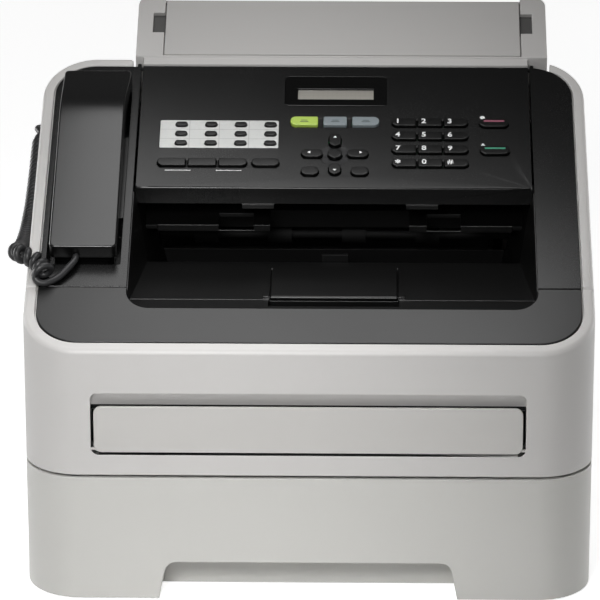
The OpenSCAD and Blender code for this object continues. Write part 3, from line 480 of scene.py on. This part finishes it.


# The step that the closed flap rests on is painted near black as painted shade in the gap round
# the flap. The cover is cut level with the top of the step, so that the painted shade ends in a line.
front_cover = merged("front_cover")
bpy.ops.object.mode_set(mode="EDIT")
bpy.ops.mesh.select_all(action="SELECT")
bpy.ops.mesh.bisect(plane_co=(0, 0, step_high.z), plane_no=(0, 0, 1))
bpy.ops.object.mode_set(mode="OBJECT")
bevel_edges(front_cover, on_outer_rim, rim_round)
smoothed(front_cover, cover_edge)
within(front_cover, "front_cover")
stands_for(front_cover, "front_cover", cover_plastic)
# The step is painted near black: painted shade in the gap round the flap.
step_painted_shade = moulded("step_painted_shade", shade(12, 12, 12), 0.6, mottle=0.08)
inlay(front_cover, step_painted_shade, on_step)

# The flap is a little smaller than its opening, so that the gap round it shows dark.
flap_plastic = moulded("flap_plastic", shade(200, 198, 195), 0.44, mottle=0.015)
flap = dressed("manual_feed_cover", flap_plastic, cover_edge)
for point in flap.data.vertices:
    for axis in (0, 2):
        reach = point.co[axis] - flap_middle[axis]
        point.co[axis] = flap_middle[axis] + reach * (1 - flap_gap / flap_half[axis])

cassette_plastic = moulded("cassette_plastic", shade(204, 203, 199), 0.44, mottle=0.015)
dressed("paper_cassette", cassette_plastic, cover_edge)


# --- Deck plates ------------------------------------------------------------------------
# Dark plates moulded with a grain, inside the rim: the front deck, whose shelf runs on into
# the black bay, the cradle plate with the handset's channel and wells, and the plate on the
# right.
plate_edge = 0.0004
bay_sides = (-0.132, 0.142)
shelf_start, shelf_drop = 0.02, 0.0011


def on_shelf(place):
    """True where the front deck steps down between the walls of the bay; these faces are painted as
    shade.
    """
    at = to_deck @ place
    return bay_sides[0] < at.x < bay_sides[1] and at.z < -shelf_drop and at.y > shelf_start


shelf_dark_and_painted_shade = moulded("shelf_dark_and_painted_shade", shade(8, 8, 8), 0.34)
deck_plastic = moulded("deck_plastic", shade(26, 26, 26), 0.36, grain=0.00003, grain_scale=900)
deck = dressed("front_deck", deck_plastic, plate_edge)
# The deck's faces that step down into the bay are painted near black, as painted shade of the bay.
inlay(deck, shelf_dark_and_painted_shade, on_shelf)
cradle_plastic = moulded(
    "cradle_plastic", shade(8, 8, 8), 0.27, grain=0.00001, Specular_IOR_Level=0.4
)
for node in ("handset_cradle", "right_top_panel"):
    dressed(node, cradle_plastic, plate_edge)


# --- Output bay, paper stop and document chute ------------------------------------------
# Nearly black trays where the printed sheets and the scanned documents come out, moulded in
# the same plastic as the deck. The stop folds out of the shelf. The chute is nearly black, and the
# tray's faces deep in the bay and on the small hump where the paper leaves are painted as dark as
# the chute, as painted shade of the bay. The front edge of the chute's lip is painted paler, a
# painted highlight.
bay_dark_under, bay_dark_behind = 0.183, -0.044
paper_hump = Vector((0.0158, -0.051, 0.1895))
hump_half = Vector((0.012, 0.006, 0.003))


def in_painted_bay_shade(place):
    """True in the bay behind the shelf, and on the small hump where the paper leaves it, which are
    painted as shade.
    """
    off = place - paper_hump
    on_hump = abs(off.x) < hump_half.x and abs(off.y) < hump_half.y and off.z > -hump_half.z
    return place.z < bay_dark_under or place.y > bay_dark_behind or on_hump


bay_black_and_painted_shade = moulded("bay_black_and_painted_shade", shade(4, 4, 4), 0.5, Specular_IOR_Level=0.15)
tray = dressed("output_tray", shelf_dark_and_painted_shade, plate_edge)
# The tray's faces deep in the bay are painted near black, as painted shade.
inlay(tray, bay_black_and_painted_shade, in_painted_bay_shade)

lip_front = -0.0256
lip_tops = (0.2042, 0.2006)
lip_height = 0.0003


def on_lip(place):
    """True on the front edge of the chute's lip, painted paler as a highlight; it stands lower in its
    two notches.
    """
    return place.y < lip_front and any(0 < top - place.z < lip_height for top in lip_tops)


# Paler paint on the lip's front edge: a painted highlight.
lip_painted_highlight = moulded("lip_painted_highlight", shade(96, 96, 96), 0.3, grain=0.00001)
chute = dressed("document_chute", bay_black_and_painted_shade, plate_edge)
inlay(chute, lip_painted_highlight, on_lip)
stop_plastic = moulded("stop_plastic", shade(8, 8, 8), 0.34)
dressed("output_flap", stop_plastic, 0.0005)


# --- Document unit ----------------------------------------------------------------------
# Light cover behind the panel, moulded like the side covers, with the folded document support
# hinged on it. The floors of the finger wells beside the support are painted darker, as painted
# shade.
unit_rear_top = Vector((0, 0.150, 0.311))
unit_rise = 0.4578
well_sides = ((-0.118, -0.1), (0.138, 0.158))
well_run = (0.110, 0.142)
well_depth = (0.0032, 0.0046)


def in_finger_well(place):
    """True on the floors of the two wells beside the document support, which are painted as shade."""
    depth = unit_rear_top.z - (unit_rear_top.y - place.y) * unit_rise - place.z
    beside = any(left < place.x < right for left, right in well_sides)
    return beside and well_run[0] < place.y < well_run[1] and well_depth[0] < depth < well_depth[1]


unit_plastic = moulded("unit_plastic", shade(192, 190, 188), 0.44, mottle=0.015)
support_plastic = moulded("support_plastic", shade(184, 182, 180), 0.46, mottle=0.015)
# Darker paint for the well floors: painted shade in the wells.
well_painted_shade = moulded("well_painted_shade", shade(74, 73, 72), 0.5, mottle=0.06)
unit = dressed("rear_top_cover", unit_plastic, cover_edge)
inlay(unit, well_painted_shade, in_finger_well)
dressed("document_support", support_plastic, cover_edge)


# --- Control panel ----------------------------------------------------------------------
# Dark moulded housing, hinged at its rear so that the front edge lifts. The display lies
# behind a glossy black bezel, the one-touch keys stand in a silver-painted plate, and the
# marks are printed in white.
def deck_parts(place):
    """Wires of the place across and up the deck plane, in metres."""
    turned = place.node(
        "ShaderNodeVectorRotate",
        {"rotation_type": "X_AXIS"},
        {"Vector": place, "Center": deck_start, "Angle": -deck_slope},
    )
    across = turned.node("ShaderNodeSeparateXYZ", None, {0: turned}, out="X")
    along = Wire(across.tree, across.socket.node.outputs["Y"])
    return across, along - deck_start.y


panel_front, long_edge = 0.168, 0.2


def on_panel_front(edge):
    """True on the long edges along the panel's front."""
    in_front = all((to_deck @ corner.co).y < panel_front for corner in edge.verts)
    return in_front and edge.calc_length() > long_edge


panel_plastic = moulded(
    "panel_plastic", shade(8, 8, 8), 0.26, grain=0.00001, Specular_IOR_Level=0.38
)
panel = merged("control_panel")
bevel_edges(panel, on_panel_front, 0.0012)
smoothed(panel, 0.0003)
within(panel, "control_panel")
stands_for(panel, "control_panel", panel_plastic)

plate_x, plate_v = -0.0628, 0.2135
plate_size = (0.0802, 0.0288)
plate_margin, plate_height = 0.0001, 0.0004
memory_pitch = (0.020, 0.0096)
line_half = 0.00022


def printed_plate():
    """Silver paint with thin grey lines round each key's label."""
    material, shader, place = paint("silver_plate", 0.34, Metallic=0.25)
    across, along = deck_parts(place)
    column = (across - (plate_x - plate_size[0] / 2)).from_line(memory_pitch[0])
    row = (along - (plate_v - 1.5 * memory_pitch[1])).from_line(memory_pitch[1])
    lines = (column < line_half).either(row < line_half)
    flecks = noise(place, scale=420, detail=1) > 0.62
    clouds = noise(place, scale=30)
    silver = clouds.mix(shade(196, 197, 195), shade(206, 207, 205))
    plug(shader, "Base Color", (lines * 0.45 + flecks * 0.05).mix(silver, shade(120, 122, 121)))
    plug(shader, "Roughness", clouds * 0.1 + 0.3)
    return material


def on_plate(place):
    """True on the silver plate round the one-touch keys."""
    at = to_deck @ place
    across = abs(at.x - plate_x) < plate_size[0] / 2 - plate_margin
    along = abs(at.y - plate_v) < plate_size[1] / 2 - plate_margin
    return across and along and at.z > plate_height


keys_x, menu_v = 0.0152, 0.193
dish_radius = 0.0106
dish_low, dish_high = -0.0008, -0.0001


def in_dish(place):
    """True in the shallow round dish under the OK key."""
    at = to_deck @ place
    inside = (at.xy - Vector((keys_x, menu_v))).length < dish_radius
    return inside and dish_low < at.z < dish_high


inlay(panel, printed_plate(), on_plate)
dish_gloss = moulded("dish_gloss", shade(34, 34, 35), 0.2, grain=0.000003, Coat_Weight=0.5)
inlay(panel, dish_gloss, in_dish)

window_v, window_foot = 0.2563, 0.251
window_half = (0.0262, 0.007)
glass_low, glass_high = -0.004, -0.0011
cell_pitch = (0.0032, 0.0052)
cell_line_half = (0.00012, 0.00018)


def liquid_crystal():
    """Warm grey glass of the display, with two rows of character cells, painted lighter at its foot
    as a painted reflection.
    """
    material, shader, place = paint("liquid_crystal", 0.2, Coat_Weight=0.4)
    across, along = deck_parts(place)
    column = across.from_line(cell_pitch[0]) < cell_line_half[0]
    row = (along - window_v).from_line(cell_pitch[1]) < cell_line_half[1]
    painted_glass_shine = ((along - window_foot) * 60).maths("MINIMUM", 1.0)
    glass = painted_glass_shine.mix(shade(158, 155, 148), shade(136, 133, 126))
    plug(shader, "Base Color", (column.either(row) * 0.12).mix(glass, shade(96, 94, 90)))
    return material


def in_window(place):
    """True on the display under the opening of the bezel."""
    at = to_deck @ place
    across = abs(at.x - keys_x) < window_half[0]
    along = abs(at.y - window_v) < window_half[1]
    return across and along and glass_low < at.z < glass_high


bezel_gloss = moulded("bezel_gloss", shade(3, 3, 3), 0.1, grain=0.000002)
bezel = dressed("display_bezel", bezel_gloss, 0.0003)
inlay(bezel, liquid_crystal(), in_window)

mark_white = moulded("mark_white", shade(236, 236, 236), 0.5, grain=0.000001)
print_height = 0.00006


def mark(name, node, material, place, size, kind="bar", turn=0.0):
    """Mark printed at a place on the deck: a bar, a disc, or an arrowhead turned by turn."""
    bpy.ops.object.select_all(action="DESELECT")
    corners = {"bar": 4, "disc": 20, "head": 3}[kind]
    bpy.ops.mesh.primitive_circle_add(vertices=corners, radius=0.5, fill_type="NGON")
    printed = bpy.context.object
    printed.name = name
    bpy.ops.object.mode_set(mode="EDIT")
    bpy.ops.mesh.select_all(action="SELECT")
    if kind == "bar":
        bpy.ops.transform.rotate(value=math.pi / 4, orient_axis="Z", center_override=(0, 0, 0))
        bpy.ops.transform.resize(value=(2 ** 0.5, 2 ** 0.5, 1))
    bpy.ops.transform.resize(value=(size[0], size[1], 1), center_override=(0, 0, 0))
    bpy.ops.mesh.extrude_region_move(TRANSFORM_OT_translate={"value": (0, 0, print_height)})
    bpy.ops.mesh.select_all(action="SELECT")
    bpy.ops.mesh.normals_make_consistent(inside=False)
    bpy.ops.object.mode_set(mode="OBJECT")
    printed.data.transform(deck_frame @ Matrix.Translation(place) @ Matrix.Rotation(turn, 4, "Z"))
    printed.data.materials.append(material)
    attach(printed, body_of_node[node])


for number, x in enumerate((-0.0895, -0.0556), start=1):
    mark(f"rule_{number}", "control_panel", mark_white, (x, 0.1766, 0), (0.0172, 0.0006))
mark_x, mark_size = 0.1145, (0.0034, 0.0034)
mark("start_mark", "control_panel", mark_white, (mark_x, 0.2042, 0), mark_size, "head")
mark("stop_mark", "control_panel", mark_white, (mark_x, 0.2325, 0), mark_size, "disc")


# --- Keys -------------------------------------------------------------------------------
# Satin moulded key caps with soft upper edges, which stand a little over the panel. Digits
# and arrowheads are printed on them, and the stop and start keys have coloured bars.
key_top, key_round = 0.0019, 0.0006


def on_cap_top(edge):
    """True on the edges round the top of a key cap."""
    return all((to_deck @ corner.co).z > key_top - 0.0001 for corner in edge.verts)


key_plastic = moulded("key_plastic", shade(6, 6, 6), 0.25, grain=0.00001, Specular_IOR_Level=0.3)
green_key = moulded("green_key", shade(176, 204, 88), 0.3, grain=0.00001)
pale_key = moulded("pale_key", shade(128, 137, 141), 0.3, grain=0.00001)
key_paint = {"fax_key": green_key, "scan_key": pale_key, "copy_key": pale_key}
for node in nodes:
    if node.endswith(("_key", "_keys")) or node.startswith("dial_key"):
        cap = merged(node)
        bevel_edges(cap, on_cap_top, key_round, segments=3)
        smoothed(cap)
        within(cap, node)
        stands_for(cap, node, key_paint.get(node, key_plastic))


def digit(name, node, text, x, v, size):
    """Printed character on a key's top."""
    bpy.ops.object.select_all(action="DESELECT")
    bpy.ops.object.text_add()
    printed = bpy.context.object
    printed.name = name
    printed.data.body = text
    printed.data.size = size
    printed.data.offset = 0.00016
    printed.data.extrude = print_height / 2
    printed.data.resolution_u = 4
    printed.data.align_x = "CENTER"
    printed.data.align_y = "CENTER"
    bpy.ops.object.convert(target="MESH")
    printed = bpy.context.object
    printed.data.transform(deck_frame @ Matrix.Translation((x, v, key_top)))
    printed.data.materials.clear()
    printed.data.materials.append(mark_white)
    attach(printed, body_of_node[node])


dial_x, dial_v = 0.079, 0.2048
dial_pitch = (0.0175, 0.014)
dial_rows = (("1", "2", "3"), ("4", "5", "6"), ("7", "8", "9"), ("star", "0", "hash"))
symbols = {"star": "*", "hash": "#"}
digit_left, digit_up = 0.0042, 0.0005
digit_size, star_size, star_drop = 0.0064, 0.0085, 0.0014
for row, names in enumerate(dial_rows):
    for column, name in enumerate(names):
        x = dial_x + (column - 1) * dial_pitch[0] - digit_left
        v = dial_v + (1.5 - row) * dial_pitch[1] + digit_up
        size, drop = (star_size, star_drop) if name == "star" else (digit_size, 0)
        digit("digit_" + name, "dial_key_" + name, symbols.get(name, name), x, v - drop, size)

arrow_size, side_v = (0.0030, 0.0026), 0.1936
for name, x, v, turn in (
    ("up", keys_x, 0.2094, 0.0),
    ("down", keys_x, 0.1758, math.pi),
    ("left", -0.0019, side_v, math.pi / 2),
    ("right", 0.0323, side_v, -math.pi / 2),
):
    mark("arrow_" + name, "navigation_keys", mark_white, (x, v, key_top), arrow_size, "head", turn)

for node, colour, x, v in (
    ("stop_key", shade(150, 86, 104), 0.1222, 0.2268),
    ("start_key", shade(62, 148, 118), 0.1224, 0.1985),
):
    bar_paint = moulded(node + "_bar", colour, 0.3, grain=0.000001)
    mark(node + "_bar", node, bar_paint, (x, v, key_top), (0.0138, 0.0017))

mark_dark = moulded("mark_dark", shade(44, 60, 62), 0.5, grain=0.000001)
sheet_v, tray_v = 0.2268, 0.2254
for node, x in (("fax_key", -0.0058), ("scan_key", 0.0151), ("copy_key", 0.0357)):
    mark(node + "_sheet", node, mark_dark, (x, sheet_v, key_top), (0.0042, 0.0005))
    mark(node + "_tray", node, mark_dark, (x, tray_v, key_top), (0.0056, 0.0006))


# --- Handset ----------------------------------------------------------------------------
# Satin black handset moulded in two shells. Its back rises to a ridge under the hand and
# falls to the earpiece end, and the lower shell has a cap at each end.
def smooth_route(route, steps):
    """Points in metres of a smooth curve through a route given in millimetres."""
    p = [Vector(point) * 0.001 for point in route]
    p = [2 * p[0] - p[1]] + p + [2 * p[-1] - p[-2]]
    points = []
    for i in range(1, len(p) - 2):
        for k in range(steps):
            f = k / steps
            a, b, c, d = p[i - 1 : i + 3]
            points.append(
                b + 0.5 * f * (c - a + f * (2 * a - 5 * b + 4 * c - d + f * (3 * (b - c) + d - a)))
            )
    return points + [p[-2]]


back_route = [
    (0, 85.5, 12.9), (0, 120, 15.1), (0, 160, 17.6), (0, 195, 19.8), (0, 212, 20.6),
    (0, 224, 20.1), (0, 236, 17.6), (0, 252, 13.3), (0, 271.7, 7.7),
]
back_line = smooth_route(back_route, 8)
handset_middle = Vector((-0.1478, 0.1786, 0.0077))
handset_size = (0.0436, 0.1862, 0.0104)
handset_slices = 38
flare, flare_start, flare_run = 0.0020, 0.222, 0.045
back_foot, seam_top = 0.006, 0.004


def back_height(v):
    """Height of the handset's back over the deck plane at v."""
    for a, b in zip(back_line, back_line[1:]):
        if v <= b.y:
            return a.z + (b.z - a.z) * max(0, (v - a.y) / (b.y - a.y))
    return back_line[-1].z


def upright(edge):
    """True on the four standing corners of the block."""
    return abs(edge.verts[0].co.z - edge.verts[1].co.z) > handset_size[2] / 2


def round_the_back(edge):
    """True on the edges round the handset's back."""
    return all(corner.co.z > back_foot for corner in edge.verts)


def round_the_seam(edge):
    """True on the edges where the back shell meets the lower shell."""
    return all(corner.co.z < seam_top for corner in edge.verts)


bpy.ops.object.select_all(action="DESELECT")
bpy.ops.mesh.primitive_cube_add(size=1)
handset = bpy.context.object
handset.name = "handset_shell"
bpy.ops.object.mode_set(mode="EDIT")
bpy.ops.mesh.select_all(action="SELECT")
bpy.ops.transform.resize(value=handset_size)
bpy.ops.transform.translate(value=handset_middle)
bpy.ops.object.mode_set(mode="OBJECT")
bevel_edges(handset, upright, 0.0034, segments=5)
bpy.ops.object.mode_set(mode="EDIT")
for cut in range(1, handset_slices):
    cut_v = handset_middle.y + (cut / handset_slices - 0.5) * handset_size[1]
    bpy.ops.mesh.select_all(action="SELECT")
    bpy.ops.mesh.bisect(plane_co=(0, cut_v, 0), plane_no=(0, 1, 0))
bpy.ops.object.mode_set(mode="OBJECT")
# The slices follow the line of the back, and the earpiece end widens towards the panel.
for point in handset.data.vertices:
    if point.co.z > handset_middle.z:
        point.co.z = back_height(point.co.y)
    if point.co.x > handset_middle.x:
        rise = min(1, max(0, (point.co.y - flare_start) / flare_run))
        point.co.x += flare * rise * rise * (3 - 2 * rise)
bevel_edges(handset, round_the_back, 0.0013, segments=4, sharp=40)
bevel_edges(handset, round_the_seam, 0.0007, segments=2, sharp=40)
smoothed(handset)
handset.data.transform(deck_frame)
handset_plastic = moulded("handset_plastic", shade(14, 14, 14), 0.24)
stands_for(handset, "handset_back", handset_plastic)
dressed("handset_face", handset_plastic, 0.0006)


# --- Handset cord -----------------------------------------------------------------------
# Curly cord from the end of the handset over the left rim and along the side to the jack.
# It is a round vinyl jacket, with a short plain lead at each end and a moulded plug.
cord_diameter = 0.0046
coil_radius = 0.0041
first_turn_radius = 0.0062
loose_pitch, closed_pitch = 0.0064, 0.0053
loose_run, closing_run, coil_taper = 0.03, 0.012, 0.012
lead_route = [
    (-152.2, -103, 209.7), (-153, -106.8, 207.9), (-156.3, -111.7, 205.2), (-162.6, -119, 200.8),
    (-169, -123.6, 199), (-173.3, -125, 198.9), (-176.8, -124.6, 200.9), (-177.6, -122.8, 204),
]
coil_route = [
    (-171.4, -122.4, 204.1), (-173, -118, 205.8), (-176.3, -112.5, 208.2), (-181, -109, 210.1),
    (-186.3, -106.5, 211.3), (-190.6, -100, 211), (-191.2, -90, 207.8), (-191, -76, 203),
    (-190.9, -55, 198), (-190.9, -30, 193.8), (-190.9, 0, 192), (-190.9, 30, 193.4),
    (-190.9, 58, 198), (-190.9, 82, 204.5), (-190.9, 102, 211), (-190.9, 118, 215.6),
    (-191.4, 127, 217.6),
]
tail_route = [
    (-191.4, 127, 217.6), (-193.6, 131, 218.3), (-194.6, 135, 218.3), (-193.4, 138, 218),
    (-191.6, 138, 218), (-190, 138, 218),
]


def coil_pitch(along):
    """Stretched where the cord leaves the handset, and closed along the side."""
    closing = min(1, max(0, along - loose_run) / closing_run)
    return loose_pitch + (closed_pitch - loose_pitch) * closing


def curled(line, turn_points=14):
    """Helix round a line. Its first turn is wide, and it tapers into the line at the end."""
    lengths = [0.0]
    for a, b in zip(line, line[1:]):
        lengths.append(lengths[-1] + (b - a).length)
    total = lengths[-1]
    points, along, turn, i = [], 0.0, math.pi, 0
    while along < total:
        while lengths[i + 1] < along:
            i += 1
        share = (along - lengths[i]) / (lengths[i + 1] - lengths[i])
        middle = line[i].lerp(line[i + 1], share)
        ahead = (line[i + 1] - line[i]).normalized()
        side = ahead.cross(Vector((0, 0, 1))).normalized()
        over = ahead.cross(side)
        widened = (first_turn_radius - coil_radius) * max(0, 1 - along / loose_pitch)
        reach = (coil_radius + widened) * min(1, (total - along) / coil_taper)
        points.append(middle + reach * (math.cos(turn) * side + math.sin(turn) * over))
        along += coil_pitch(along) / turn_points
        turn += math.tau / turn_points
    return points


cord_points = (
    smooth_route(lead_route, 6)[:-1]
    + curled(smooth_route(coil_route, 12))
    + smooth_route(tail_route, 6)
)
cord_curve = bpy.data.curves.new("handset_cord", "CURVE")
cord_curve.dimensions = "3D"
cord_curve.bevel_depth = cord_diameter / 2
cord_curve.bevel_resolution = 3
cord_curve.use_fill_caps = True
line = cord_curve.splines.new("POLY")
line.points.add(len(cord_points) - 1)
for at, point in zip(line.points, cord_points):
    at.co = (*point, 1)
line.use_smooth = True
cord = bpy.data.objects.new("handset_cord", cord_curve)
bpy.context.scene.collection.objects.link(cord)
cord_jacket = moulded("cord_jacket", shade(44, 44, 45), 0.42)
cord_curve.materials.append(cord_jacket)
plug_gloss = moulded("plug_gloss", shade(34, 34, 35), 0.3)
plug_piece = dressed("cord_plug", plug_gloss, 0.0004)
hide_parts("cord_lead", "cord_coil")
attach(cord, "housing")
